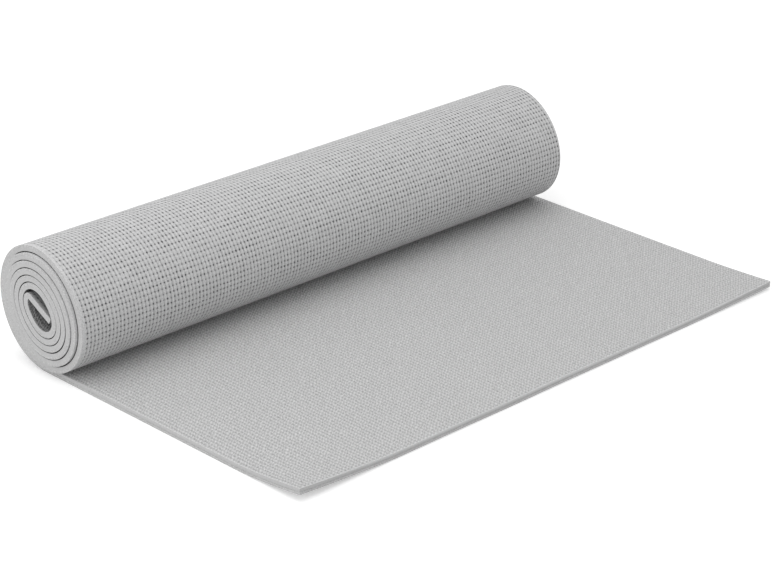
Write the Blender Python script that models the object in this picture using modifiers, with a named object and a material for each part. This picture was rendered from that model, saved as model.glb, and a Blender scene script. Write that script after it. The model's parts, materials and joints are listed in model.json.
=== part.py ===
"""Yoga mat, about four fifths wound into a roll and the rest lying flat on the floor.

The mat is one laminate: a face foam and a back foam, bonded to a scrim net between them.
The flat stretch is cut into panels, each hinged to the next along the face of the sheet, so
that it winds onto the roll. The mat's inner end is a flap, hinged where it folds in the core.
X runs out along the flat stretch, Y along the roll and Z up. The origin is the middle of the
footprint, on the floor.
"""
import math

import bpy
import bmesh
from mathutils import Vector

MM = 0.001

# The sheet, from its face down
MAT_WIDTH = 610 * MM
FACE_FOAM = 2.6 * MM
SCRIM = 0.4 * MM
BACK_FOAM = 2.4 * MM
BOND_GAP = 0.3 * MM

# The winding: the radius of its back line in the core, the air between turns outside and in
# the core, and the share of its thickness that the foam keeps where it is wound tight
CORE_RADIUS = 20 * MM
OUTER_AIR = 1.42 * MM
INNER_AIR = 0.82 * MM
WIND_TURNS = 6.33
WOUND_SHARE = 0.9
STATIONS_PER_TURN = 40

# How the winding leaves a true spiral: an oval, a sag of its crown, a drift of its core
OVAL = 3.0 * MM
OVAL_TILT = math.radians(-50)
OVAL_EASE_TURNS = 0.5
SAG = 3.6 * MM
CORE_DRIFT = Vector((2.4, 0, 1.3)) * MM

# The turns stand proud of each other at the near end
TELESCOPE = 8.4 * MM
TELESCOPE_TURNS = 1.1

# The fold in the core and the flap past it, which reaches the far wall of the core
CREASE_RADIUS = 1.4 * MM
FOLD_STATIONS = 9
FLAP_SLOPE = math.radians(-28)
FLAP_CLEARANCE = 0.5 * MM
FLAP_SWING = math.radians(24)
CORE_WALL_TURNS = 1.1

# The flat stretch
LEAD = 20 * MM
FLAT_REACH = 318.4 * MM
PANEL_COUNT = 12
HINGE_GAP = 0.3 * MM

# Winding the flat stretch on: the air left under it at its start and at its springy end, the
# turns of the roll that it is held against, how finely its bends are found, and the shares of
# them at which its air is printed
WRAP_CLEARANCE = 1.8 * MM
END_CLEARANCE = 8.5 * MM
WRAP_TURNS = 1.2
WRAP_STEP = math.radians(0.1)
WRAP_SHARES = (0.25, 0.5, 0.75, 1)

SHEET = FACE_FOAM + SCRIM + BACK_FOAM + 2 * BOND_GAP
WOUND_SHEET = SHEET * WOUND_SHARE
OUTER_PITCH = WOUND_SHEET + OUTER_AIR
INNER_PITCH = WOUND_SHEET + INNER_AIR
ROLL_RADIUS = CORE_RADIUS + WIND_TURNS * (OUTER_PITCH + INNER_PITCH) / 2
FOLD_RADIUS = WOUND_SHEET + CREASE_RADIUS
PANEL = (FLAT_REACH - LEAD) / PANEL_COUNT

# Each layer: its thickness and the depth of its middle under the back surface
LAYERS = {
    "back_foam": (BACK_FOAM, BACK_FOAM / 2),
    "scrim": (SCRIM, BACK_FOAM + BOND_GAP + SCRIM / 2),
    "face_foam": (FACE_FOAM, SHEET - FACE_FOAM / 2),
}
FINISHES = {
    "back_foam": ((0.45, 0.45, 0.46, 1), 0.85),
    "scrim": ((0.30, 0.30, 0.31, 1), 0.75),
    "face_foam": ((0.52, 0.52, 0.52, 1), 0.80),
}


def clear_scene():
    for obj in list(bpy.data.objects):
        bpy.data.objects.remove(obj, do_unlink=True)


def new_collection(name):
    collection = bpy.data.collections.new(name)
    bpy.context.scene.collection.children.link(collection)
    return collection


def make_material(name):
    colour, roughness = FINISHES[name]
    material = bpy.data.materials.new(name)
    material.use_nodes = True
    shader = material.node_tree.nodes["Principled BSDF"]
    shader.inputs["Base Color"].default_value = colour
    shader.inputs["Roughness"].default_value = roughness
    shader.inputs["Metallic"].default_value = 0
    return material


def ease(share):
    share = min(max(share, 0), 1)
    return share * share * (3 - 2 * share)


def back_point(turns):
    """A point of the winding's back surface, counted in turns from where it meets the floor."""
    angle = 2 * math.pi * turns
    along = turns / WIND_TURNS
    oval = OVAL * ease(turns / OVAL_EASE_TURNS) * math.cos(2 * (-math.pi / 2 - angle - OVAL_TILT))
    lost = OUTER_PITCH * turns - (OUTER_PITCH - INNER_PITCH) * turns * along / 2
    radius = ROLL_RADIUS - lost + oval
    point = Vector((-radius * math.sin(angle), 0, ROLL_RADIUS - radius * math.cos(angle)))
    point.z -= SAG * (1 - math.cos(angle)) / 2
    return point + CORE_DRIFT * along


def proud(turns):
    return TELESCOPE * (1 - math.exp(-turns / TELESCOPE_TURNS))


def heading(start, end):
    return math.atan2(end.z - start.z, end.x - start.x)


def inward(angle):
    """Unit step from the back of the sheet to its face, where the sheet runs at this heading."""
    return Vector((math.sin(angle), 0, -math.cos(angle)))


def wound_stations():
    """The wound sheet's back line: (point, heading, how far it stands proud) at each station."""
    count = round(WIND_TURNS * STATIONS_PER_TURN)
    turns = [WIND_TURNS * index / count for index in range(count + 1)]
    points = [back_point(value) for value in turns]
    step = WIND_TURNS / count
    stations = [(Vector((LEAD - HINGE_GAP / 2, 0, 0)), math.pi, 0)]
    for index, value in enumerate(turns):
        before = points[index - 1] if index else stations[0][0]
        after = points[index + 1] if index < count else back_point(value + step)
        stations.append((points[index], heading(before, after) % (2 * math.pi), proud(value)))
    return stations


def fold_stations(start, angle, stand):
    """The sharp bend in the core, from the winding's last heading round to the flap's."""
    angle = (angle + math.pi) % (2 * math.pi) - math.pi
    centre = start + inward(angle) * FOLD_RADIUS
    stations = []
    for index in range(1, FOLD_STATIONS + 1):
        bend = angle + (FLAP_SLOPE - angle) * index / FOLD_STATIONS
        stations.append((centre - inward(bend) * FOLD_RADIUS, bend, stand))
    return stations


def winding():
    stations = wound_stations()
    point, angle, stand = stations[-1]
    return stations + fold_stations(point, angle, stand)


def add_object(name, mesh, collection, material, parent, location):
    obj = bpy.data.objects.new(name, mesh)
    obj.data.materials.append(material)
    obj.parent = parent
    obj.location = location
    collection.objects.link(obj)
    return obj


def add_pivot(name, place, parent, collection, turn=0):
    """An empty on a hinge's axis, turned about Y. What hangs on it is placed in its axes."""
    pivot = bpy.data.objects.new(name, None)
    pivot.empty_display_size = PANEL / 2
    pivot.parent = parent
    pivot.location = place
    pivot.rotation_euler.y = turn
    collection.objects.link(pivot)
    return pivot


def add_wound_layer(layer, stations, collection, material, parent):
    """One layer of the roll: a strip along the winding, given its thickness by Solidify."""
    thickness, depth = LAYERS[layer]
    build = bmesh.new()
    rows = []
    for point, angle, stand in stations:
        middle = point + inward(angle) * depth * WOUND_SHARE
        near = build.verts.new((middle.x, -stand, middle.z))
        far = build.verts.new((middle.x, MAT_WIDTH - stand, middle.z))
        rows.append((near, far))
    for (near, far), (next_near, next_far) in zip(rows, rows[1:]):
        build.faces.new((near, far, next_far, next_near))
    mesh = bpy.data.meshes.new(layer + "_roll")
    build.to_mesh(mesh)
    build.free()
    obj = add_object(layer + "_roll", mesh, collection, material, parent, (0, 0, 0))
    solid = obj.modifiers.new("thickness", "SOLIDIFY")
    solid.thickness = thickness * WOUND_SHARE
    solid.offset = 0
    solid.use_even_offset = True
    return obj


def slab(name, length, thickness):
    """A flat piece of one layer, its corner by the hinge at the mesh's origin."""
    build = bmesh.new()
    bmesh.ops.create_cube(build, size=1)
    bmesh.ops.scale(build, vec=(length, MAT_WIDTH, thickness), verts=build.verts)
    bmesh.ops.translate(build, vec=(length / 2, MAT_WIDTH / 2, 0), verts=build.verts)
    mesh = bpy.data.meshes.new(name)
    build.to_mesh(mesh)
    build.free()
    return mesh


def add_panel(label, collection, materials, pivot):
    """One panel of the flat stretch, hung from the pivot on the face of the sheet."""
    for layer, (thickness, depth) in LAYERS.items():
        mesh = slab(layer + label, PANEL - HINGE_GAP, thickness)
        place = (HINGE_GAP / 2, 0, depth - SHEET)
        add_object(layer + label, mesh, collection, materials[layer], pivot, place)


def add_flap(length, stand, collection, materials, pivot):
    """The mat's inner end, a straight run from the fold. Its face side is at the pivot."""
    for layer, (thickness, depth) in LAYERS.items():
        name = layer + "_inner_end"
        mesh = slab(name, length - HINGE_GAP, thickness)
        place = (HINGE_GAP, -stand, SHEET - depth)
        add_object(name, mesh, collection, materials[layer], pivot, place)


def segment_gap(start, end, point):
    run = end - start
    share = min(max((point - start).dot(run) / run.dot(run), 0), 1)
    return (start + run * share - point).length


def ahead(place, angle, length):
    return place + Vector((math.cos(angle), 0, math.sin(angle))) * length


def wrap_angles(outline):
    """How far each hinge bends when the flat stretch is wound onto the roll's outline.

    Each hinge ends the panel's sagitta and a growing clearance away from the roll."""
    sagitta = PANEL * PANEL / (8 * ROLL_RADIUS)
    pivot = Vector((LEAD, 0, SHEET))
    slope = 0
    angles = []
    for index in range(1, PANEL_COUNT + 1):
        clearance = WRAP_CLEARANCE + (END_CLEARANCE - WRAP_CLEARANCE) * index / PANEL_COUNT
        away = clearance + sagitta
        start = slope
        end = ahead(pivot, slope, PANEL)
        while min(segment_gap(a, b, end) for a, b in zip(outline, outline[1:])) > away:
            slope += WRAP_STEP
            end = ahead(pivot, slope, PANEL)
        angles.append(slope - start)
        pivot = end
    return angles


def wrap_gap(angles, outline, share):
    """Least air between the roll and the panels' faces, at a share of the hinges' bends."""
    pivot = Vector((LEAD, 0, SHEET))
    slope = 0
    least = math.inf
    for angle in angles:
        slope += angle * share
        end = ahead(pivot, slope, PANEL)
        least = min([least] + [segment_gap(pivot, end, point) for point in outline])
        pivot = end
    return least


def least_gap(stations):
    """Least air between neighbouring turns, measured on points of their faces and backs."""
    backs = [point for point, _, _ in stations]
    faces = [point + inward(angle) * WOUND_SHEET for point, angle, _ in stations]
    least = math.inf
    for index, face in enumerate(faces):
        for start in range(index + STATIONS_PER_TURN // 2, len(backs) - 1):
            least = min(least, segment_gap(backs[start], backs[start + 1], face))
    return least


def core_wall(stations):
    """The face of the last turn, which walls the core in, as points in order."""
    turn = stations[-FOLD_STATIONS - round(CORE_WALL_TURNS * STATIONS_PER_TURN):-FOLD_STATIONS]
    return [point + inward(angle) * WOUND_SHEET for point, angle, _ in turn]


def flap_gap(pivot, slope, length, wall):
    """Least air between the flap's end and the wall of the core."""
    low = ahead(pivot, slope, length)
    high = low - inward(slope) * SHEET
    gaps = [segment_gap(low, high, point) for point in wall]
    gaps += [segment_gap(a, b, tip) for a, b in zip(wall, wall[1:]) for tip in (low, high)]
    return min(gaps)


def flap_length(pivot, wall):
    """The length that takes the flap's end to the wall of the core, less its clearance."""
    length = CORE_RADIUS
    while flap_gap(pivot, FLAP_SLOPE, length, wall) > FLAP_CLEARANCE:
        length += HINGE_GAP / 3
    return length


def main():
    clear_scene()
    parts = new_collection("yoga_mat")
    materials = {layer: make_material(layer) for layer in LAYERS}
    stations = winding()
    backs = [point for point, _, _ in stations]
    ends_x = (min(point.x for point in backs), FLAT_REACH - HINGE_GAP / 2)
    stand = stations[-1][2]
    shift = Vector((-sum(ends_x) / 2, -(MAT_WIDTH - stand) / 2, 0))

    roll = add_pivot("roll", shift, None, parts)
    for layer in LAYERS:
        add_wound_layer(layer, stations, parts, materials[layer], roll)

    crease = backs[-1] + inward(FLAP_SLOPE) * WOUND_SHEET
    wall = core_wall(stations)
    length = flap_length(crease, wall)
    fold = add_pivot("inner_end_hinge", crease, roll, parts, turn=-FLAP_SLOPE)
    add_flap(length, stand, parts, materials, fold)

    pivot = add_pivot("hinge_01", (LEAD, 0, SHEET), roll, parts)
    add_panel("_panel_01", parts, materials, pivot)
    for index in range(2, PANEL_COUNT + 1):
        pivot = add_pivot("hinge_%02d" % index, (PANEL, 0, 0), pivot, parts)
        add_panel("_panel_%02d" % index, parts, materials, pivot)

    middles = [point + inward(angle) * WOUND_SHEET / 2 for point, angle, _ in stations]
    wound = sum((b - a).length for a, b in zip(middles, middles[1:]))
    print("least air between turns, mm:", round(least_gap(stations) / MM, 3))
    print("wound, flat and flap, mm:", [round(run / MM, 1) for run in (
        wound, FLAT_REACH - LEAD, length)])
    for swing in (0, FLAP_SWING / 2, FLAP_SWING):
        gap = flap_gap(crease, FLAP_SLOPE - swing, length, wall)
        print("flap swung", round(math.degrees(swing)), "degrees, gap, mm:", round(gap / MM, 3))
    print("inner end hinge, m:", [round(value, 6) for value in crease + shift])
    print("first hinge, m:", round(LEAD + shift.x, 6), "panel, m:", round(PANEL, 6))
    outline = backs[2:round(WRAP_TURNS * STATIONS_PER_TURN)]
    angles = wrap_angles(outline)
    for index, angle in enumerate(angles, 1):
        ratio = round(angle / angles[0], 5)
        print("hinge_%02d bends, degrees, and ratio:" % index, round(math.degrees(angle), 3), ratio)
    for share in WRAP_SHARES:
        print("wound on by", share, "air, mm:", round(wrap_gap(angles, outline, share) / MM, 3))


main()
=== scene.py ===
"""Dresses the yoga mat: two skins of foam on a scrim net, partly wound, on a plain stage.

The sheet is modelled unrolled, lying along X with its back on the floor. Geometry Nodes emboss
its skins and wind it along the roll's line. Its flat stretch is cut into lengths, one to a hinge.
"""
import json
import math
from functools import reduce

import bpy
import numpy as np
from bpy.props import FloatProperty, FloatVectorProperty, IntProperty, PointerProperty
from mathutils import Euler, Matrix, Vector


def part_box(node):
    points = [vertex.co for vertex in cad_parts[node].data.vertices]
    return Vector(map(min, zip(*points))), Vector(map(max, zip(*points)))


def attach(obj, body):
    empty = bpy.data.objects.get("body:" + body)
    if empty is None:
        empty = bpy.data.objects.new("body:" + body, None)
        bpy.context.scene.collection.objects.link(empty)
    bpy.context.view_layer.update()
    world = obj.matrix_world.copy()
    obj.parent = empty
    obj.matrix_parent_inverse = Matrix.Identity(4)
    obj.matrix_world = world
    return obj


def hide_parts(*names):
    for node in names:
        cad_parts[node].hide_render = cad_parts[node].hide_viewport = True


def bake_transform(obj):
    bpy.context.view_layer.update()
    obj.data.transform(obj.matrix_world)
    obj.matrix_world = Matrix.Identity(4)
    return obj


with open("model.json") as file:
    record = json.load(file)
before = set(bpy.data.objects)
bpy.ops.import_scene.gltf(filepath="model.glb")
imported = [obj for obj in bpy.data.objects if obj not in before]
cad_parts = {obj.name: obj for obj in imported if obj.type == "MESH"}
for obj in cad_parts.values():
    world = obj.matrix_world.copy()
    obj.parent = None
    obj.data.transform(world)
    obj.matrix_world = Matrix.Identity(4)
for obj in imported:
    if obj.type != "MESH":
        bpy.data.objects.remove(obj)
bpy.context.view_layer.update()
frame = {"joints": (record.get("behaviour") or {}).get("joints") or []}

bl_info = {
    "name": "Yoga Mat",
    "version": (1, 0, 0),
    "blender": (4, 5, 0),
    "location": "View3D > Sidebar > Yoga Mat",
    "description": "Builds a partly rolled foam mat with an embossed back and face",
    "category": "Object",
}

MM = 0.001
PIVOTS = {joint["name"]: Vector(joint["pos_m"]) for joint in frame["joints"]}
HINGES = [PIVOTS[name] for name in sorted(PIVOTS) if name.startswith("hinge_")]
PANEL = HINGES[1].x - HINGES[0].x
BACK_LOW, BACK_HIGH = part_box("back_foam_panel_01")
NEAR_Y, FAR_Y, BACK_TOP = BACK_LOW.y, BACK_HIGH.y, BACK_HIGH.z
SCRIM_LOW, SCRIM_HIGH = (corner.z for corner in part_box("scrim_panel_01"))
FACE_LOW, FACE_TOP = (corner.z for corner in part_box("face_foam_panel_01"))
FREE_END = HINGES[-1].x + PANEL
SEAM = HINGES[0].x - PANEL / 2
LAYERS = ("face_foam", "scrim", "back_foam")

# The lattice's sizes, which both the trees and the materials take.
LATTICE_SIZES = "Pitch Across", "Pitch Along", "Pit Radius", "Groove Width", "Seed"

# Lengths of the roll's skins, cut at these turns to stay under 200,000 triangles each.
OUTER_NAMES = "outer_low_left", "outer_high_left", "outer_high_right", "outer_low_right"
OUTER_CUTS = 0.26, 0.52, 0.78, 1.04
CORE_CUTS = 5.1, 5.7

# The roll stops this far before its fold's end, where the inner end starts.
FOLD_LAP = 1.8 * MM

# Steps of the roll's line to a turn and round its fold, degrees round a cut edge, and rows
# beside an edge, 1 mm apart, where the emboss is left out.
TURN_STEPS, FOLD_STEPS = 96, 18
EDGE_ANGLES = 0, 30, 60, 90
EDGE_ROWS = 8
FLOOR_DROP = 0.05 * MM
WHITE = 1, 1, 1, 1

# The emboss: what chance does to a pit and a groove, and how much less the cross grooves show.
PIT_LEAST, PIT_CHANCE = 0.52, 0.7
GROOVE_LEAST, GROOVE_CHANCE, CROSS_GROOVES = 0.55, 0.5, 0.45
PATCH_SCALE, LUMP_SCALE, STRAY_SCALE = 0.11, 1.7, 0.8
PATCH_WEAR = 0.35, 0.65, 0.9, 1.08

# The face's pebbles, which shape its bump and its painted dimple shade: each wave's share, with its
# waves to a metre along X and Y.
PEBBLE_WAVES = (0.5, (330.0, 250.0, 0.0)), (0.28, (0.0, 246.0, 0.0)), (0.28, (220.0, 0.0, 0.0))
PEBBLE_STRAY = 3.4 * MM
# The most that a pit's painted shade covers of the foam's colour.
DARKEST_PIT = 0.96

# What each layer's material gives the foam group.
# Their pit, groove, ripple and gap shades are painted shade in the pits, the grooves, the face's
# dimples and the gaps between the turns.
LOOKS = {
    "back_foam": {"Pit Shade": 1.85, "Groove Shade": 0.33, "Grain Size": 1.4 * MM,
                  "Grain Height": 0.12 * MM, "Mottle": 0.26, "Gap Shade": 0.88},
    "face_foam": {"Pit Shade": 0.34, "Groove Shade": 0.10, "Grain Size": 1.1 * MM,
                  "Grain Height": 0.07 * MM, "Mottle": 0.08, "Ripple": 0.19,
                  "Ripple Height": 0.34 * MM, "Gap Shade": 0.88},
    "scrim": {"Pit Shade": 0.0, "Groove Shade": 0.0, "Grain Size": 0.5 * MM,
              "Grain Height": 0.08 * MM, "Mottle": 0.1},
}


class SheetSettings(bpy.types.PropertyGroup):
    """The sheet itself, its edges and how its free end lies."""
    edge_radius: FloatProperty(
        name="Edge Radius", description="Rounding of the cut edges", default=0.22 * MM,
        unit="LENGTH")
    rim_band: FloatProperty(
        name="Rim Band", description="Plain band of the back beside the near edge",
        default=2.6 * MM, unit="LENGTH")
    rim_fade: FloatProperty(
        name="Rim Fade", description="Width over which the emboss starts past the band",
        default=1.8 * MM, unit="LENGTH")
    edge_fade: FloatProperty(
        name="Edge Fade", description="Width over which the emboss starts at other edges",
        default=0.9 * MM, unit="LENGTH")
    scrim_recess: FloatProperty(
        name="Scrim Recess", description="How far the net stops short of the flat stretch's edges",
        default=0.3 * MM, unit="LENGTH")
    pressed_recess: FloatProperty(
        name="Pressed Recess", description="How far the net stops short of the roll's ends",
        default=0.01 * MM, unit="LENGTH")
    near_curl: FloatProperty(
        name="Near Curl", description="Lift of the free end's near corner", default=6.5 * MM,
        unit="LENGTH")
    far_curl: FloatProperty(
        name="Far Curl", description="Lift of the free end's far corner", default=2.2 * MM,
        unit="LENGTH")
    curl_reach: FloatProperty(
        name="Curl Reach", description="Length over which a corner lifts", default=75 * MM,
        unit="LENGTH")
    ripple: FloatProperty(
        name="Ripple", description="Height of the free end's waves", default=0.7 * MM,
        unit="LENGTH")


class WindingSettings(bpy.types.PropertyGroup):
    """The line that the back of the sheet follows in the roll."""
    lead: FloatProperty(
        name="Lead", description="Flat run between the roll and the first hinge",
        default=20 * MM, unit="LENGTH")
    core_radius: FloatProperty(
        name="Core Radius", description="Radius of the back line in the core",
        default=20 * MM, unit="LENGTH")
    outer_pitch: FloatProperty(
        name="Outer Pitch", description="Distance between turns outside", default=6.82 * MM,
        unit="LENGTH")
    inner_pitch: FloatProperty(
        name="Inner Pitch", description="Distance between turns in the core",
        default=6.22 * MM, unit="LENGTH")
    turns: FloatProperty(name="Turns", description="Turns of the roll", default=6.33)
    oval: FloatProperty(
        name="Oval", description="How far the roll is out of round", default=3.0 * MM,
        unit="LENGTH")
    oval_tilt: FloatProperty(
        name="Oval Tilt", description="Slope of the oval's long axis",
        default=math.radians(-50), unit="ROTATION")
    oval_ease: FloatProperty(
        name="Oval Ease", description="Turns over which the oval starts", default=0.5)
    sag: FloatProperty(
        name="Sag", description="Sag of the roll's crown", default=3.6 * MM, unit="LENGTH")
    drift: FloatVectorProperty(
        name="Core Drift", description="Shift of the core from the roll's middle",
        default=(2.4 * MM, 0, 1.3 * MM), unit="LENGTH")
    telescope: FloatProperty(
        name="Telescope", description="How far the core stands proud at the near end",
        default=8.4 * MM, unit="LENGTH")
    telescope_turns: FloatProperty(
        name="Telescope Turns", description="Turns over which the sheet moves proud", default=1.1)
    fold_radius: FloatProperty(
        name="Fold Radius", description="Radius of the back line at the fold in the core",
        default=6.8 * MM, unit="LENGTH")
    flap_slope: FloatProperty(
        name="Flap Slope", description="Slope of the inner end past the fold",
        default=math.radians(-28), unit="ROTATION")
    flap_length: FloatProperty(
        name="Flap Length", description="Length of the inner end past the fold",
        default=30.1 * MM, unit="LENGTH")
    outer_gap: FloatProperty(
        name="Outer Gap", description="Air under the outer turn, from its top round to the floor",
        default=0.95 * MM, unit="LENGTH")
    inner_gap: FloatProperty(
        name="Inner Gap", description="Air between the other turns", default=0.9 * MM,
        unit="LENGTH")
    slack: FloatProperty(
        name="Slack", description="How unevenly the inner turns lie, as a share of their gap",
        default=0.25)


class SkinSettings(bpy.types.PropertyGroup):
    """The emboss, a lattice of pits and pads that both skins take from the net between them."""
    pitch_across: FloatProperty(
        name="Pitch Across", description="Distance between pits across the mat",
        default=4.07 * MM, unit="LENGTH")
    pitch_along: FloatProperty(
        name="Pitch Along", description="Distance between pits along the flat stretch",
        default=4.55 * MM, unit="LENGTH")
    pitch_wound: FloatProperty(
        name="Pitch Wound", default=4.97 * MM, unit="LENGTH",
        description="Distance between pits round the roll, where the back is stretched")
    wound_skew: FloatProperty(
        name="Wound Skew", description="Slope of the pits' columns round the roll", default=0.036)
    lines_per_pitch: IntProperty(
        name="Lines per Pitch", description="Lines of the mesh to a pitch", default=4)
    pit_radius: FloatProperty(
        name="Pit Radius", description="Radius of the round holes", default=0.66 * MM,
        unit="LENGTH")
    groove_width: FloatProperty(
        name="Groove Width", description="Half width of the grooves that link the pits",
        default=0.85 * MM, unit="LENGTH")
    back_pit_depth: FloatProperty(
        name="Back Pit Depth", description="Depth of the back's holes", default=1.0 * MM,
        unit="LENGTH")
    back_groove_depth: FloatProperty(
        name="Back Groove Depth", description="Depth of the back's grooves", default=0.3 * MM,
        unit="LENGTH")
    face_pit_depth: FloatProperty(
        name="Face Pit Depth", description="Depth of the face's dimples", default=0.42 * MM,
        unit="LENGTH")
    face_groove_depth: FloatProperty(
        name="Face Groove Depth", description="Depth of the face's grooves", default=0.2 * MM,
        unit="LENGTH")
    waver: FloatProperty(
        name="Waver", description="How far the emboss strays from its rows", default=0.5 * MM,
        unit="LENGTH")
    lumps: FloatProperty(
        name="Lumps", description="Height of what is uneven between the pits", default=0.2 * MM,
        unit="LENGTH")
    seed: IntProperty(name="Seed", description="Seed of what is uneven", default=7)


class FinishSettings(bpy.types.PropertyGroup):
    """The colours of the foams and the net, and the painted shade at the bottom of a pit."""
    back_colour: FloatVectorProperty(
        name="Back", description="Foam of the back", default=(0.565, 0.565, 0.568), subtype="COLOR")
    face_colour: FloatVectorProperty(
        name="Face", description="Foam of the face", default=(0.65, 0.65, 0.652), subtype="COLOR")
    cut_colour: FloatVectorProperty(
        name="Cut Edge", description="Foam where it is cut", default=(0.50, 0.50, 0.50),
        subtype="COLOR")
    # Painted shade: the colour that a pit's bottom is painted, standing in for the shade in the
    # hole.
    pit_shade_colour: FloatVectorProperty(
        name="Pit", description="Foam at the bottom of a pit", default=(0.05, 0.05, 0.054),
        subtype="COLOR")
    net_colour: FloatVectorProperty(
        name="Net", description="Yarn of the scrim", default=(0.48, 0.48, 0.48), subtype="COLOR")


class StageSettings(bpy.types.PropertyGroup):
    """The camera, the lamps and the floor."""
    camera_place: FloatVectorProperty(
        name="Camera", description="Where the camera stands",
        default=(1.472790, -1.525740, 0.977580), unit="LENGTH")
    azimuth: FloatProperty(
        name="Azimuth", description="Turn of the camera about Z", default=math.radians(44.275),
        unit="ROTATION")
    elevation: FloatProperty(
        name="Elevation", description="Height of the camera over the horizon",
        default=math.radians(24.068), unit="ROTATION")
    roll: FloatProperty(
        name="Roll", description="Turn of the camera about its own line",
        default=math.radians(1.335), unit="ROTATION")
    lens: FloatProperty(name="Lens", description="Focal length in millimetres", default=119.534)
    floor_size: FloatProperty(
        name="Floor Size", description="Side of the floor", default=12.0, unit="LENGTH")
    floor_colour: FloatVectorProperty(
        name="Floor", description="Paint of the floor", default=(0.72, 0.72, 0.72), subtype="COLOR")
    floor_glow: FloatProperty(
        name="Floor Glow", description="Light that only the view adds to the floor", default=0.42)
    sky: FloatProperty(name="Sky", description="Strength of the even light", default=0.78)
    key: FloatProperty(name="Key", description="Power of the lamp overhead, in watts", default=9.9)
    fill: FloatProperty(
        name="Fill", description="Power of the lamp in front, in watts", default=5.5)


class MatSettings(bpy.types.PropertyGroup):
    """Everything that can be set on the mat and its stage."""
    sheet: PointerProperty(type=SheetSettings)
    winding: PointerProperty(type=WindingSettings)
    skin: PointerProperty(type=SkinSettings)
    finish: PointerProperty(type=FinishSettings)
    stage: PointerProperty(type=StageSettings)


def ease(share):
    """From 0 to 1 without a kink at either end."""
    share = np.clip(share, 0, 1)
    return share * share * (3 - 2 * share)


def read(items, name, width=1, kind=np.float32):
    """A value of every item in a list of Blender's, as an array."""
    values = np.zeros(len(items) * width, kind)
    items.foreach_get(name, values)
    return values.reshape(-1, width) if width > 1 else values


def keep(mesh, name, values, kind="FLOAT", domain="POINT"):
    """Stores an attribute on a mesh."""
    items = mesh.attributes.new(name, kind, domain).data
    items.foreach_set("vector" if kind == "FLOAT_VECTOR" else "value", np.ravel(values))


def link(tree, socket, value):
    """Feeds a socket from another socket, or sets it to a plain value."""
    if isinstance(value, bpy.types.NodeSocket):
        tree.links.new(value, socket)
    elif value is not None:
        socket.default_value = value


def add_node(tree, kind, inputs=(), **settings):
    """Adds a node. Its inputs are given as a list in order, or as a dictionary by name or place."""
    node = tree.nodes.new(kind)
    for name, value in settings.items():
        setattr(node, name, value)
    pairs = inputs.items() if isinstance(inputs, dict) else enumerate(inputs)
    for key, value in pairs:
        link(tree, node.inputs[key], value)
    return node


def maths(tree, operation, *values):
    return add_node(tree, "ShaderNodeMath", values, operation=operation).outputs[0]


def vector_maths(tree, operation, *values):
    return add_node(tree, "ShaderNodeVectorMath", values, operation=operation).outputs[0]


def times(tree, *values):
    return reduce(lambda total, value: maths(tree, "MULTIPLY", total, value), values)


def plus(tree, *values):
    return reduce(lambda total, value: maths(tree, "ADD", total, value), values)


def minus(tree, value, less):
    return maths(tree, "SUBTRACT", value, less)


def bell(tree, distance, width):
    """1 where the distance is 0, falling to nothing past the width."""
    ratio = maths(tree, "DIVIDE", distance, width)
    return maths(tree, "EXPONENT", times(tree, times(tree, ratio, ratio), -1.0))


def scaled(tree, vector, factor):
    return add_node(tree, "ShaderNodeVectorMath", {0: vector, "Scale": factor},
                    operation="SCALE").outputs[0]


def split(tree, vector):
    """A vector's axes, by name."""
    return add_node(tree, "ShaderNodeSeparateXYZ", [vector]).outputs


def joined(tree, *axes):
    return add_node(tree, "ShaderNodeCombineXYZ", axes).outputs[0]


def noise(tree, place, scale, output=0, **settings):
    """Soft noise. The settings are the node's other inputs by name."""
    return add_node(tree, "ShaderNodeTexNoise",
                    {"Vector": place, "Scale": scale, "Detail": 1.0, **settings}).outputs[output]


def mixed(tree, share, first, second, **settings):
    """A mix of two colours."""
    return add_node(tree, "ShaderNodeMix", {0: share, 6: first, 7: second},
                    data_type="RGBA", **settings).outputs[2]


def new_tree(name, kind, inputs, outputs):
    """A node group with named sockets, given as {name: type}."""
    tree = bpy.data.node_groups.new(name, kind)
    for direction, sockets in (("INPUT", inputs), ("OUTPUT", outputs)):
        for label, form in sockets.items():
            tree.interface.new_socket(label, in_out=direction, socket_type="NodeSocket" + form)
    return tree, tree.nodes.new("NodeGroupInput").outputs, tree.nodes.new("NodeGroupOutput").inputs


def end_tree(tree, geometry, move, material, out):
    """Ends a geometry tree: moves its points, then Realize Instances and Set Material."""
    moved = add_node(tree, "GeometryNodeSetPosition", {"Geometry": geometry, **move})
    real = add_node(tree, "GeometryNodeRealizeInstances", {"Geometry": moved.outputs[0]})
    painted = add_node(tree, "GeometryNodeSetMaterial",
                       {"Geometry": real.outputs[0], "Material": material})
    tree.links.new(painted.outputs[0], out["Geometry"])


def named(tree, name, kind="FLOAT"):
    return add_node(tree, "GeometryNodeInputNamedAttribute", {"Name": name},
                    data_type=kind).outputs["Attribute"]


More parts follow.
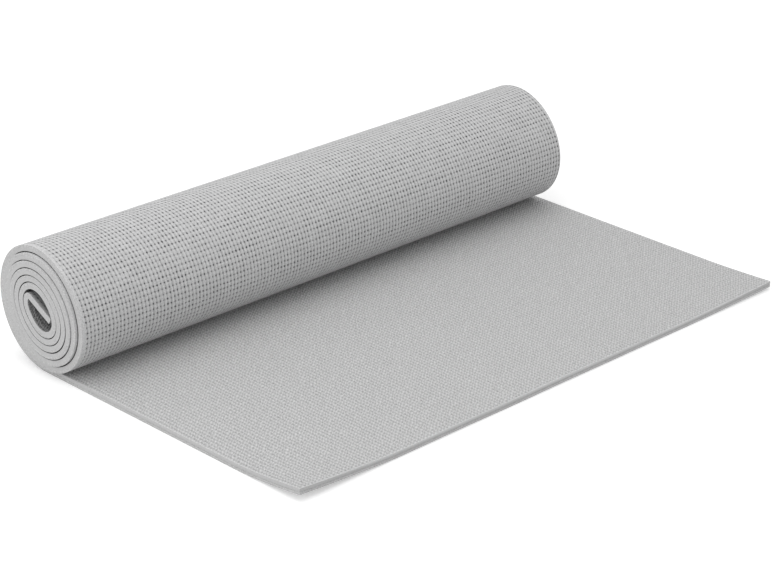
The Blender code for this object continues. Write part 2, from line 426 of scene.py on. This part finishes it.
def waffle(tree, lattice, given):
    """The lattice's pits and grooves, each 0 to about 1, on a place counted in cells."""
    axes = split(tree, lattice)
    cells = [maths(tree, "ROUND", axes[name]) for name in "XY"]
    off = [times(tree, minus(tree, axes["X"], cells[0]), given["Pitch Across"]),
           times(tree, minus(tree, axes["Y"], cells[1]), given["Pitch Along"])]
    reach = maths(tree, "SQRT", plus(tree, *(times(tree, way, way) for way in off)))
    cell = joined(tree, *cells, given["Seed"])
    chance = add_node(tree, "ShaderNodeTexWhiteNoise", [cell], noise_dimensions="3D")
    chance = split(tree, chance.outputs["Color"])
    patches = noise(tree, lattice, PATCH_SCALE, Detail=2.0)
    worn = add_node(tree, "ShaderNodeMapRange", [patches, *PATCH_WEAR]).outputs[0]
    size = plus(tree, times(tree, chance["X"], chance["X"], PIT_CHANCE), PIT_LEAST)
    pit = times(tree, bell(tree, reach, given["Pit Radius"]), size, worn)
    lines = zip(off, (chance["Y"], chance["Z"]), (1.0, CROSS_GROOVES))
    grooves = [times(tree, bell(tree, distance, given["Groove Width"]), share,
                     plus(tree, times(tree, luck, GROOVE_CHANCE), GROOVE_LEAST))
               for distance, luck, share in lines]
    return pit, maths(tree, "MAXIMUM", *grooves)


def waffle_tree():
    """Embosses a skin: round pits in rows, linked by soft grooves, with uneven pads between."""
    tree, given, out = new_tree("waffle_skin", "GeometryNodeTree", {
        "Geometry": "Geometry", "Material": "Material",
        **dict.fromkeys((*LATTICE_SIZES, "Pit Depth", "Groove Depth", "Up", "Waver", "Lumps"),
                        "Float"),
    }, {"Geometry": "Geometry"})
    lattice = named(tree, "lattice", "FLOAT_VECTOR")
    skin = named(tree, "skin")
    pit, groove = waffle(tree, lattice, given)
    lump = minus(tree, noise(tree, lattice, LUMP_SCALE), 0.5)
    sunk = plus(tree, times(tree, pit, given["Pit Depth"]),
                times(tree, groove, given["Groove Depth"]), times(tree, lump, given["Lumps"]))
    height = times(tree, sunk, skin, given["Up"], -1.0)
    stray = noise(tree, lattice, STRAY_SCALE, "Color")
    stray = vector_maths(tree, "SUBTRACT", stray, (0.5, 0.5, 0.5))
    stray = scaled(tree, stray, times(tree, given["Waver"], skin, 2.0))
    shift = vector_maths(tree, "ADD", vector_maths(tree, "MULTIPLY", stray, (1.0, 1.0, 0.0)),
                         joined(tree, None, None, height))
    end_tree(tree, given["Geometry"], {"Offset": shift}, given["Material"], out)
    return tree


def winding_tree():
    """Winds the unrolled sheet along a line: X becomes the way along it, Z the depth inside it."""
    tree, given, out = new_tree("wind_along_line", "GeometryNodeTree", {
        "Geometry": "Geometry", "Line": "Object", "Start": "Float", "Material": "Material",
    }, {"Geometry": "Geometry"})
    axes = split(tree, add_node(tree, "GeometryNodeInputPosition").outputs[0])
    line = add_node(tree, "GeometryNodeObjectInfo", [given["Line"]]).outputs["Geometry"]
    length = minus(tree, given["Start"], axes["X"])
    sample = add_node(tree, "GeometryNodeSampleCurve", {"Curves": line, "Length": length},
                      mode="LENGTH", use_all_curves=True).outputs
    inward = vector_maths(tree, "CROSS_PRODUCT", (0.0, 1.0, 0.0), sample["Tangent"])
    wound = vector_maths(tree, "ADD", sample["Position"], scaled(tree, inward, axes["Z"]))
    wound = vector_maths(tree, "ADD", wound, joined(tree, None, axes["Y"]))
    end_tree(tree, given["Geometry"], {"Position": wound}, given["Material"], out)
    return tree


def foam_group():
    """The look of foam: its colour over pits, grooves and cut edges, its sheen and its grain. Its
    pits, grooves, dimples and the gaps between the turns take painted shade.
    """
    cloud_scale, cloud_share, speckle_share = 55.0, 0.6, 4.0
    stray_scale, pore_share = 210.0, 1.2
    plain_rough, grain_rough, cut_rough = 0.60, 0.14, 0.12
    tree, given, out = new_tree("foam_surface", "ShaderNodeTree", {
        "Skin Colour": "Color", "Cut Colour": "Color", "Pit Shade Colour": "Color",
        **dict.fromkeys((*LATTICE_SIZES, "Pit Shade", "Groove Shade", "Gap Shade", "Grain Size",
                         "Grain Height", "Mottle", "Ripple", "Ripple Height"), "Float"),
    }, {"Colour": "Color", "Roughness": "Float", "Height": "Float"})
    place, lattice, cut, skin, inside = (
        add_node(tree, "ShaderNodeAttribute", attribute_name=name).outputs[output]
        for name, output in (("sheet_place", "Vector"), ("lattice", "Vector"), ("cut", "Fac"),
                             ("skin", "Fac"), ("inside", "Fac")))
    pit, groove = waffle(tree, lattice, given)
    scale = maths(tree, "DIVIDE", 1.0, given["Grain Size"])
    grain = noise(tree, place, scale, Detail=2.0, Roughness=0.6)
    pores = add_node(tree, "ShaderNodeTexVoronoi",
                     {"Vector": place, "Scale": scale}, feature="F1").outputs["Distance"]
    cloud = noise(tree, place, cloud_scale, Detail=4.0, Roughness=0.6)
    cloud, speckle = (times(tree, minus(tree, value, 0.5), given["Mottle"], share)
                      for value, share in ((cloud, cloud_share), (grain, speckle_share)))
    mottle = plus(tree, 1.0, cloud, speckle)
    stray = vector_maths(tree, "MULTIPLY", noise(tree, place, stray_scale, "Color"),
                         (PEBBLE_STRAY, PEBBLE_STRAY, 0.0))
    strayed = vector_maths(tree, "ADD", place, stray)
    ripple = 1.0
    for share, waves in PEBBLE_WAVES:
        way = add_node(tree, "ShaderNodeVectorMath", [strayed, waves],
                       operation="DOT_PRODUCT").outputs["Value"]
        wave = maths(tree, "SINE", times(tree, way, 2 * math.pi))
        ripple = plus(tree, times(tree, wave, share), ripple)
    pebbles = times(tree, ripple, skin, given["Ripple Height"], -1.0)
    # Painted shade in the grooves and in the face's dimples.
    shade = minus(tree, 1.0, times(tree, groove, skin, given["Groove Shade"]))
    shade = minus(tree, shade, times(tree, ripple, skin, given["Ripple"]))
    # Painted shade on skin inside the roll, in the gaps between the turns and in the core.
    gap = minus(tree, 1.0, times(tree, inside, given["Gap Shade"]))
    base = mixed(tree, cut, given["Skin Colour"], given["Cut Colour"])
    base = mixed(tree, 1.0, base, times(tree, shade, gap, mottle), blend_type="MULTIPLY")
    # Painted shade in the pits: their colour goes towards the pit shade colour.
    dark = maths(tree, "MINIMUM", times(tree, pit, skin, given["Pit Shade"]), DARKEST_PIT)
    grain_height = plus(tree, grain, times(tree, pores, cut, pore_share))
    made = {"Colour": mixed(tree, dark, base, given["Pit Shade Colour"]),
            "Roughness": plus(tree, plain_rough, times(tree, grain, grain_rough),
                              times(tree, cut, cut_rough)),
            "Height": plus(tree, times(tree, grain_height, given["Grain Height"]), pebbles)}
    for label, socket in made.items():
        tree.links.new(socket, out[label])
    return tree


def waffle_inputs():
    """The lattice's sizes by name."""
    skin = bpy.context.scene.yoga_mat.skin
    return dict(zip(LATTICE_SIZES, (skin.pitch_across, skin.pitch_along, skin.pit_radius,
                                    skin.groove_width, float(skin.seed))))


def foam_material(name, group, skin_colour, finish, values):
    """Foam with its own skin: values are the group's inputs by name."""
    material = bpy.data.materials.new("dressed_" + name)
    material.use_nodes = True
    tree = material.node_tree
    shader = tree.nodes["Principled BSDF"]
    look = add_node(tree, "ShaderNodeGroup", {
        "Skin Colour": (*skin_colour, 1), "Cut Colour": (*finish.cut_colour, 1),
        "Pit Shade Colour": (*finish.pit_shade_colour, 1), **waffle_inputs(), **values}, node_tree=group)
    bump = add_node(tree, "ShaderNodeBump", {"Height": look.outputs["Height"], "Distance": 1.0})
    link(tree, shader.inputs["Base Color"], look.outputs["Colour"])
    link(tree, shader.inputs["Roughness"], look.outputs["Roughness"])
    link(tree, shader.inputs["Normal"], bump.outputs[0])
    shader.inputs["Specular IOR Level"].default_value = 0.35
    return material


def materials():
    """The three materials of the mat, made once."""
    made = {name: bpy.data.materials.get("dressed_" + name) for name in LAYERS}
    if all(made.values()):
        return made
    finish = bpy.context.scene.yoga_mat.finish
    group = foam_group()
    colours = {"back_foam": finish.back_colour, "face_foam": finish.face_colour,
               "scrim": finish.net_colour}
    return {name: foam_material(name, group, colour, finish, LOOKS[name])
            for name, colour in colours.items()}


def back_point(winding, turns):
    """A point of the back of the sheet in the roll, counted in turns from the floor."""
    radius = winding.core_radius + winding.turns * (winding.outer_pitch + winding.inner_pitch) / 2
    angle = 2 * math.pi * turns
    along = turns / winding.turns
    tilt = -math.pi / 2 - angle - winding.oval_tilt
    oval = winding.oval * float(ease(turns / winding.oval_ease)) * math.cos(2 * tilt)
    lost = winding.outer_pitch * turns
    lost -= (winding.outer_pitch - winding.inner_pitch) * turns * along / 2
    reach = radius - lost + oval
    point = Vector((-reach * math.sin(angle), 0, radius - reach * math.cos(angle)))
    point.z -= winding.sag * (1 - math.cos(angle)) / 2
    point.y = -winding.telescope * (1 - math.exp(-turns / winding.telescope_turns))
    return point + Vector(winding.drift) * along


def flap_way(winding):
    """The direction that the inner end lies in."""
    return Vector((math.cos(winding.flap_slope), 0, math.sin(winding.flap_slope)))


def winding_line(winding):
    """The points of the roll's line from the lead to the inner end, the length to each of them,
    and the turns that those before the fold stand at."""
    contact = Vector((HINGES[0].x - winding.lead, 0, 0))
    count = round(winding.turns * TURN_STEPS)
    turns = [winding.turns * index / count for index in range(count + 1)]
    points = [contact + Vector((winding.lead, 0, 0))]
    points += [contact + back_point(winding, value) for value in turns]
    last = points[-1]
    ahead = contact + back_point(winding, winding.turns + 1 / TURN_STEPS)
    angle = math.atan2(ahead.z - last.z, ahead.x - last.x)
    middle = last + Vector((math.sin(angle), 0, -math.cos(angle))) * winding.fold_radius
    for index in range(1, FOLD_STEPS + 1):
        bend = angle + (winding.flap_slope - angle) * index / FOLD_STEPS
        points.append(middle - Vector((math.sin(bend), 0, -math.cos(bend))) * winding.fold_radius)
    points.append(points[-1] + flap_way(winding) * winding.flap_length)
    lengths = np.cumsum([0] + [(b - a).length for a, b in zip(points, points[1:])])
    return points, lengths, np.array([0] + turns)


def table(stations, *rows):
    """Values at X stations, held on far past the last one."""
    past = 9
    return [np.append(stations, stations[-1] - past)] + [np.append(row, row[-1]) for row in rows]


def press_table(winding, stations, turns):
    """Shares of its thickness that the sheet has at X stations, so that only thin gaps are left.

    The gap closes at the upper right of the inner turns and at the left of the first one. It is
    wider in the rest of the first, and the innermost turn has no other to press on.
    """
    tight_at, tight_width, tight_share, tight_from, tight_fade = 0.66, 0.13, 0.75, 1.4, 0.4
    left_at, left_width, left_share = 0.22, 0.14, 0.7
    open_from, open_to, open_fade = 0.36, 1.0, 0.12
    free_turns, free_fade, free_share = 1.15, 0.3, 0.97
    lead_fade = 0.07
    line = np.array([back_point(winding, value) for value in turns])
    within = np.stack([np.interp(turns + 1, turns, line[:, axis]) for axis in (0, 2)], 1)
    pitch = np.linalg.norm(line[:, [0, 2]] - within, axis=1)
    last = turns > winding.turns - 1
    pitch[last] = pitch[~last][-1]
    # Two waves that don't repeat within the roll.
    waves = (np.sin(turns * 7.1 + 0.9) + 0.6 * np.sin(turns * 15.7)) / 1.6
    gap = winding.inner_gap * (1 + winding.slack * waves)
    tight = np.exp(-(((turns % 1) - tight_at) / tight_width) ** 2)
    tight *= ease((turns - tight_from) / tight_fade)
    gap *= 1 - tight_share * tight
    gap *= 1 - left_share * np.exp(-((turns - left_at) / left_width) ** 2)
    opened = ease((turns - open_from) / open_fade) * (1 - ease((turns - open_to) / open_fade))
    gap += opened * (winding.outer_gap - gap)
    thick = pitch - gap
    free = ease((turns - winding.turns + free_turns) / free_fade)
    thick += free * (FACE_TOP * free_share - thick)
    thick = FACE_TOP + (thick - FACE_TOP) * ease(turns / lead_fade)
    return table(stations, thick / FACE_TOP)


def cover_table(winding, layer, stations, turns):
    """How far a layer's skin is covered at X stations, which is how much painted shade it takes,
    and how wide a band each end leaves bare.
    """
    core_turns, core_level = 1.1, 0.45
    face_from, face_fade = 0.04, 0.05
    proud = [winding.telescope * (1 - np.exp(-value / winding.telescope_turns))
             for value in (turns - 1, turns, turns + 1)]
    bare = np.zeros_like(turns)
    if layer == "back_foam":
        near, far, level = proud[1] - proud[0], bare, (turns > OUTER_CUTS[-1]) * 1.0
    else:
        near, far, level = bare, proud[2] - proud[1], ease((turns - face_from) / face_fade)
    level = level * np.where(turns > winding.turns - core_turns, core_level, 1)
    return table(stations, level, near, far)


def line_object(points):
    """The roll's line as a curve, for the trees to sample. It is removed when all is wound."""
    curve = bpy.data.curves.new("winding_line", "CURVE")
    curve.dimensions = "3D"
    spline = curve.splines.new("POLY")
    spline.points.add(len(points) - 1)
    for place, point in zip(spline.points, points):
        place.co = (*point, 1)
    line = bpy.data.objects.new("winding_line", curve)
    bpy.context.scene.collection.objects.link(line)
    return line


def profile(layer, across, edge, inset):
    """A layer's outline across the sheet as (y, z, skin) rows, going once round it."""
    near, far = NEAR_Y + inset, FAR_Y - inset
    middle_low, middle_high = (BACK_TOP + SCRIM_LOW) / 2, (SCRIM_HIGH + FACE_LOW) / 2
    hidden_from, hidden_every, rows_from, first_row = edge * 9, 8, edge * 3, edge * 1.3
    hidden = across[(across > NEAR_Y + hidden_from) & (across < FAR_Y - hidden_from)]
    hidden = hidden[::hidden_every]
    if layer == "scrim":
        rows = [(y, middle_low, 0) for y in (near, *hidden, far)]
        return np.array(rows + [(y, middle_high, 0) for y in (far, *hidden[::-1], near)])
    ys = across[(across > NEAR_Y + rows_from) & (across < FAR_Y - rows_from)]
    skin, up, bond = (inset, 1, middle_low) if layer == "back_foam" else (
        FACE_TOP - inset, -1, middle_high)
    corner = [(edge * (1 - math.cos(angle)), skin + up * edge * (1 - math.sin(angle)))
              for angle in map(math.radians, EDGE_ANGLES)]
    rows = [(near, bond, 0)]
    rows += [(near + y, z, 0) for y, z in corner]
    rows += [(y, skin, 1) for y in (near + first_row, *ys, far - first_row)]
    rows += [(far - y, z, 0) for y, z in reversed(corner)]
    rows += [(y, bond, 0) for y in (far, *hidden[::-1])]
    return np.array(rows)


def lattice_place(points):
    """Where points of the unrolled sheet lie on the emboss's lattice, counted in its cells."""
    skin = bpy.context.scene.yoga_mat.skin
    past = points[:, 0] - SEAM
    wound = past < 0
    cells = np.zeros_like(points)
    cells[:, 0] = (points[:, 1] + wound * past * skin.wound_skew) / skin.pitch_across
    cells[:, 1] = past / np.where(wound, skin.pitch_wound, skin.pitch_along)
    cells[:, 2] = points[:, 2] / skin.pitch_across
    return cells


def end_stations(layer, across, edge, place, side):
    """The stations that round a free end off, from the sheet out to its X, as (x, outline)."""
    return [(place + side * edge * (math.sin(angle) - 1),
             profile(layer, across, edge, edge * (1 - math.cos(angle))))
            for angle in map(math.radians, EDGE_ANGLES[1:])]


def ring_faces(rows, count, flip):
    """Faces over rows of rings that hold count points each, and a cap at either end."""
    row, column = np.meshgrid(np.arange(rows - 1), np.arange(count), indexing="ij")
    after = (column + 1) % count
    quads = np.stack([row * count + column, (row + 1) * count + column,
                      (row + 1) * count + after, row * count + after], -1).reshape(-1, 4)
    first = list(range(count))
    last = [(rows - 1) * count + index for index in first]
    if flip:
        return quads[:, ::-1].tolist() + [first[::-1], last]
    return quads.tolist() + [first, last[::-1]]


def sheet_mesh(name, layer, along, across, sheet, press=None, free_end=None, covered=None):
    """A closed length of one layer, unrolled: along are its X stations, in falling order.

    A free end is its X and the side it faces. What is covered, which takes painted shade, comes
    from cover_table.
    """
    fade = 0.6 * MM
    edge = sheet.edge_radius
    recess = sheet.scrim_recess if press is None else sheet.pressed_recess
    outline = profile(layer, across, edge, recess if layer == "scrim" else 0)
    stations = [(x, outline) for x in along]
    if free_end is not None:
        place, side = free_end
        if layer == "scrim":
            ending = [(place - side * recess, outline)]
        else:
            ending = end_stations(layer, across, edge, place, side)
        stations = ending[::-1] + stations if side > 0 else stations + ending
    rings = np.array([ring for _, ring in stations])
    xs = np.broadcast_to(np.array([x for x, _ in stations])[:, None], rings.shape[:2])
    points = np.stack([xs, rings[..., 0], rings[..., 1]], -1)
    skin = rings[..., 2]
    cut = 1 - skin
    from_near, from_far = points[..., 1] - NEAR_Y, FAR_Y - points[..., 1]
    # Painted shade on skin that other turns cover, in the gaps and the core.
    inside = np.zeros_like(skin)
    if covered is not None:
        level, near, far = (np.interp(-xs, -covered[0], row) for row in covered[1:])
        inside = level * skin * ease((from_near - near) / fade) * ease((from_far - far) / fade)
    from_edge = np.minimum(np.minimum(from_near, from_far), FREE_END - xs)
    if free_end is not None and side < 0:
        from_edge = np.minimum(from_edge, xs - place)
    skin = skin * ease(from_edge / sheet.edge_fade)
    if layer == "back_foam":
        skin *= ease((from_near - sheet.rim_band) / sheet.rim_fade)
    points = points.reshape(-1, 3)
    mesh = bpy.data.meshes.new(name)
    mesh.from_pydata(points.tolist(), [],
                     ring_faces(len(stations), len(outline), layer == "face_foam"))
    mesh.materials.append(materials()[layer])
    mesh.update()
    for label, values in (("skin", skin), ("cut", cut), ("inside", inside)):
        keep(mesh, label, values.astype(np.float32))
    for label, values in (("sheet_place", points), ("lattice", lattice_place(points))):
        keep(mesh, label, values.astype(np.float32), "FLOAT_VECTOR")
    plain, rise = outline[:, 2] == 0, outline[:, 1] - np.roll(outline[:, 1], -1)
    bonded = plain & np.roll(plain, -1) & (np.abs(rise) < 1e-9)
    bonded = np.append(np.tile(bonded, len(stations) - 1), [True, True])
    keep(mesh, "cap", bonded, "BOOLEAN", "FACE")
    if press is not None:
        points[:, 2] *= np.interp(-points[:, 0], -press[0], press[1])
        mesh.vertices.foreach_set("co", points.ravel().astype(np.float32))
    mesh.shade_smooth()
    return mesh


def set_inputs(modifier, values):
    """Sets a modifier's inputs by the names of the tree's sockets."""
    identifiers = {item.name: item.identifier for item in modifier.node_group.interface.items_tree
                   if item.item_type == "SOCKET" and item.in_out == "INPUT"}
    for label, value in values.items():
        modifier[identifiers[label]] = value


def bake(name, mesh, steps):
    """Runs geometry trees on a mesh, and returns the plain object that they make."""
    source = bpy.data.objects.new(name + "_source", mesh)
    bpy.context.scene.collection.objects.link(source)
    for tree, values in steps:
        modifier = source.modifiers.new(tree.name, "NODES")
        modifier.node_group = tree
        set_inputs(modifier, values)
    graph = bpy.context.evaluated_depsgraph_get()
    baked = bpy.data.meshes.new_from_object(
        source.evaluated_get(graph), preserve_all_data_layers=True, depsgraph=graph)
    bpy.data.objects.remove(source)
    baked.name = name
    piece = bpy.data.objects.new(name, baked)
    bpy.context.scene.collection.objects.link(piece)
    return piece


def skin_step(layer):
    """The tree that embosses a layer, with its inputs, or nothing for the net."""
    skin = bpy.context.scene.yoga_mat.skin
    if layer == "scrim":
        return []
    back = layer == "back_foam"
    tree = bpy.data.node_groups.get("waffle_skin") or waffle_tree()
    return [(tree, {
        **waffle_inputs(), "Waver": skin.waver, "Lumps": skin.lumps,
        "Pit Depth": skin.back_pit_depth if back else skin.face_pit_depth,
        "Groove Depth": skin.back_groove_depth if back else skin.face_groove_depth,
        "Up": -1.0 if back else 1.0, "Material": materials()[layer]})]


def winding_step(layer, line):
    tree = bpy.data.node_groups.get("wind_along_line") or winding_tree()
    return [(tree, {"Line": line, "Start": HINGES[0].x, "Material": materials()[layer]})]


def across_lines(fine=True):
    """The Y of the lines across the mat: fine enough for the emboss, or only beside the edges."""
    skin = bpy.context.scene.yoga_mat.skin
    if not fine:
        steps = np.arange(1, EDGE_ROWS + 1) * MM
        return np.concatenate([NEAR_Y + steps, FAR_Y - steps[::-1]])
    step = skin.pitch_across / skin.lines_per_pitch
    return np.arange(math.ceil(NEAR_Y / step), math.floor(FAR_Y / step) + 1) * step


def along_lines(start, stop, every=1):
    """X stations from start down to stop: its ends, and lines of the emboss between them."""
    skin = bpy.context.scene.yoga_mat.skin
    step = every * (skin.pitch_wound if start <= SEAM else skin.pitch_along) / skin.lines_per_pitch
    low, high = math.ceil((stop - SEAM) / step), math.floor((start - SEAM) / step)
    inner = np.arange(low, high + 1) * step + SEAM
    inner = inner[(inner < start - step / 4) & (inner > stop + step / 4)]
    return np.concatenate([[start], inner[::-1], [stop]])


def join_normals(pieces):
    """Gives touching lengths of a layer one normal where they meet, and keeps their caps flat."""
    nearby = 0.01 * MM
    places, parts = [], []
    start = 0
    for mesh in (piece.data for piece in pieces):
        places.append(read(mesh.vertices, "co", 3))
        flat = read(mesh.polygons, "normal", 3)
        totals = read(mesh.polygons, "loop_total", kind=np.int32)
        owner = np.repeat(np.arange(len(totals)), totals)
        cap = read(mesh.attributes["cap"].data, "value", kind=bool)[owner][:, None]
        weight = (flat * read(mesh.polygons, "area")[:, None])[owner] * ~cap
        corner = read(mesh.loops, "vertex_index", kind=np.int32) + start
        parts.append((mesh, corner, cap, flat[owner], weight))
        start += len(mesh.vertices)
    keys = np.round(np.concatenate(places) / nearby).astype(np.int64)
    _, shared = np.unique(keys, axis=0, return_inverse=True)
    shared = shared.ravel()
    total = np.zeros((shared.max() + 1, 3))
    for _, corner, _, _, weight in parts:
        np.add.at(total, shared[corner], weight)
    total /= np.maximum(np.linalg.norm(total, axis=1), 1e-12)[:, None]
    for mesh, corner, cap, flat, _ in parts:
        mesh.normals_split_custom_set(np.where(cap, flat, total[shared[corner]]).tolist())


def curl(sheet, pieces):
    """Lifts the free end's corners and ripples its edge."""
    reach_near, reach_far = sheet.curl_reach * 1.5, sheet.curl_reach * 1.2
    long_wave, short_wave = 33 * MM, 19 * MM
    bend_along, bend_across = 1.6, 1.4
    for piece in pieces:
        mesh = piece.data
        co = read(mesh.vertices, "co", 3)
        out = np.clip(1 - (FREE_END - co[:, 0]) / sheet.curl_reach, 0, 1) ** bend_along
        near = np.clip(1 - (co[:, 1] - NEAR_Y) / reach_near, 0, 1) ** bend_across
        far = np.clip(1 - (FAR_Y - co[:, 1]) / reach_far, 0, 1) ** bend_across
        wave = np.sin(co[:, 1] / long_wave) + np.sin(co[:, 1] / short_wave + 1.3)
        lift = out * (near * sheet.near_curl + far * sheet.far_curl)
        lift += sheet.ripple * out * (wave + 2) / 4
        co[:, 2] += lift
        mesh.vertices.foreach_set("co", co.ravel())
        mesh.update()


def flat_lengths(layer):
    """The lengths of one layer of the flat stretch, each lying across one hinge."""
    sheet = bpy.context.scene.yoga_mat.sheet
    across = across_lines()
    pieces = []
    for index, hinge in enumerate(HINGES):
        name = "%s_sheet_%02d" % (layer, index + 1)
        high, end = hinge.x + PANEL / 2, None
        if index == len(HINGES) - 1:
            high, end = FREE_END - 2 * sheet.edge_radius, (FREE_END, 1)
        mesh = sheet_mesh(name, layer, along_lines(high, hinge.x - PANEL / 2), across, sheet,
                          free_end=end)
        pieces.append(bake(name, mesh, skin_step(layer)))
    curl(sheet, pieces)
    return pieces


def dress(layer, label):
    """Hides the part of model.glb that a finished piece stands in for."""
    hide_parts("%s_%s" % (layer, label))


class YOGAMAT_OT_roll(bpy.types.Operator):
    """Builds the roll: its outer turn, its inner turns and the fold in its core"""
    bl_idname = "yogamat.roll"
    bl_label = "Roll"

    def execute(self, context):
        winding, sheet = context.scene.yoga_mat.winding, context.scene.yoga_mat.sheet
        points, lengths, turns = winding_line(winding)
        line = line_object(points)
        start = HINGES[0].x
        join, end = start - lengths[-2] + FOLD_LAP, start - lengths[-1]
        lengths = lengths[:len(turns)]
        covered = {layer: cover_table(winding, layer, start - lengths, turns) for layer in LAYERS}
        press = press_table(winding, start - lengths, turns)
        outer, core = ([start - np.interp(turn, turns[1:], lengths[1:]) for turn in cuts]
                       for cuts in (OUTER_CUTS, CORE_CUTS))
        outer_lengths = [(name, high, low, 1, True)
                         for name, high, low in zip(OUTER_NAMES, [SEAM] + outer, outer)]
        # Each length's name, X from and to, lines of the emboss to a station, and if it is fine.
        spans = {
            "back_foam": [*outer_lengths, ("turns", outer[-1], join, 2, False)],
            "scrim": [("turns", SEAM, join, 2, False)],
            "face_foam": [("turns", SEAM, core[0], 2, False),
                          ("core_outer", core[0], core[1], 1, True),
                          ("core_inner", core[1], join, 1, True)],
        }
        for layer, parts in spans.items():
            pieces = []
            for label, high, low, every, fine in parts:
                name = "%s_%s" % (layer, label)
                mesh = sheet_mesh(name, layer, along_lines(high, low, every), across_lines(fine),
                                  sheet, press=press, covered=covered[layer])
                steps = skin_step(layer) if fine or layer == "face_foam" else []
                pieces.append(bake(name, mesh, steps + winding_step(layer, line)))
            join_normals(pieces)
            for piece in pieces:
                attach(piece, "roll")
                dress(layer, "roll")
        for layer in LAYERS:
            name = layer + "_flap"
            along = along_lines(join, end + 2 * sheet.edge_radius)
            mesh = sheet_mesh(name, layer, along, across_lines(), sheet, press=press,
                              free_end=(end, -1), covered=covered[layer])
            piece = bake(name, mesh, skin_step(layer) + winding_step(layer, line))
            join_normals([piece])
            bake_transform(piece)
            dress(layer, "inner_end")
        bpy.data.objects.remove(line)
        return {"FINISHED"}


class YOGAMAT_OT_flat(bpy.types.Operator):
    """Builds the flat stretch, in lengths that each lie across one hinge"""
    bl_idname = "yogamat.flat"
    bl_label = "Flat Stretch"

    def execute(self, context):
        bodies = ["roll"] + ["panel_%02d" % (index + 1) for index in range(len(HINGES))]
        for layer in LAYERS:
            pieces = flat_lengths(layer)
            join_normals(pieces)
            for index, piece in enumerate(pieces):
                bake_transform(piece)
                dress(layer, bodies[index + 1])
        return {"FINISHED"}


def floor_material(stage):
    """A pale floor that keeps the mat's shadow and meets the white behind it."""
    material = bpy.data.materials.new("floor")
    material.use_nodes = True
    tree = material.node_tree
    shader = tree.nodes["Principled BSDF"]
    for label, value in (("Base Color", (*stage.floor_colour, 1)), ("Roughness", 0.9),
                         ("Specular IOR Level", 0.1)):
        shader.inputs[label].default_value = value
    rays = add_node(tree, "ShaderNodeLightPath").outputs["Is Camera Ray"]
    glow = add_node(tree, "ShaderNodeEmission", {
        "Color": WHITE, "Strength": times(tree, rays, stage.floor_glow)})
    both = add_node(tree, "ShaderNodeAddShader", [shader.outputs[0], glow.outputs[0]])
    tree.links.new(both.outputs[0], tree.nodes["Material Output"].inputs["Surface"])
    return material


def add_lamp(name, place, target, size, power):
    lamp = bpy.data.lights.new(name, "AREA")
    lamp.shape = "RECTANGLE"
    lamp.size, lamp.size_y = size
    lamp.energy = power
    obj = bpy.data.objects.new(name, lamp)
    obj.location = place
    obj.rotation_euler = (Vector(target) - Vector(place)).to_track_quat("-Z", "Y").to_euler()
    bpy.context.scene.collection.objects.link(obj)


class YOGAMAT_OT_stage(bpy.types.Operator):
    """Builds the floor, the lamps, the white surround and the camera"""
    bl_idname = "yogamat.stage"
    bl_label = "Stage"

    def execute(self, context):
        scene = context.scene
        stage = scene.yoga_mat.stage
        half = stage.floor_size / 2
        mesh = bpy.data.meshes.new("floor")
        corners = [(-half, -half, 0), (half, -half, 0), (half, half, 0), (-half, half, 0)]
        mesh.from_pydata(corners, [], [(0, 1, 2, 3)])
        mesh.materials.append(floor_material(stage))
        floor = bpy.data.objects.new("floor", mesh)
        floor.location.z = -FLOOR_DROP
        scene.collection.objects.link(floor)
        world = scene.world = bpy.data.worlds.new("surround")
        world.use_nodes = True
        tree = world.node_tree
        rays = add_node(tree, "ShaderNodeLightPath").outputs
        seen = maths(tree, "MAXIMUM", rays["Is Camera Ray"], rays["Is Glossy Ray"])
        strength = add_node(tree, "ShaderNodeMix", [seen, None, stage.sky, 1.0]).outputs[0]
        background = tree.nodes["Background"]
        background.inputs["Color"].default_value = WHITE
        tree.links.new(strength, background.inputs["Strength"])
        add_lamp("key", place=(-0.1, -0.4, 1.65), target=(0, -0.1, 0.03), size=(1.6, 1.6),
                 power=stage.key)
        add_lamp("fill", place=(-0.3, -1.8, 0.5), target=(0, 0, 0.03), size=(1.0, 0.8),
                 power=stage.fill)
        data = bpy.data.cameras.new("camera")
        data.lens = stage.lens
        camera = bpy.data.objects.new("camera", data)
        camera.location = stage.camera_place
        turn = Euler((math.pi / 2 - stage.elevation, 0, stage.azimuth)).to_quaternion()
        camera.rotation_mode = "QUATERNION"
        camera.rotation_quaternion = turn @ Euler((0, 0, stage.roll)).to_quaternion()
        scene.collection.objects.link(camera)
        scene.camera = camera
        scene.view_settings.view_transform = "Standard"
        return {"FINISHED"}


class YOGAMAT_PT_panel(bpy.types.Panel):
    """Lists the steps that build the mat"""
    bl_idname = "YOGAMAT_PT_panel"
    bl_label = "Yoga Mat"
    bl_space_type = "VIEW_3D"
    bl_region_type = "UI"
    bl_category = "Yoga Mat"

    def draw(self, context):
        for operator in OPERATORS:
            self.layout.operator(operator.bl_idname)


OPERATORS = (YOGAMAT_OT_stage, YOGAMAT_OT_roll, YOGAMAT_OT_flat)
CLASSES = (SheetSettings, WindingSettings, SkinSettings, FinishSettings, StageSettings, MatSettings,
           *OPERATORS, YOGAMAT_PT_panel)


def register():
    for item in CLASSES:
        bpy.utils.register_class(item)
    bpy.types.Scene.yoga_mat = PointerProperty(type=MatSettings)


def unregister():
    del bpy.types.Scene.yoga_mat
    for item in reversed(CLASSES):
        bpy.utils.unregister_class(item)


def main():
    register()
    bpy.ops.yogamat.stage()
    bpy.ops.yogamat.roll()
    bpy.ops.yogamat.flat()


if __name__ == "__main__":
    main()
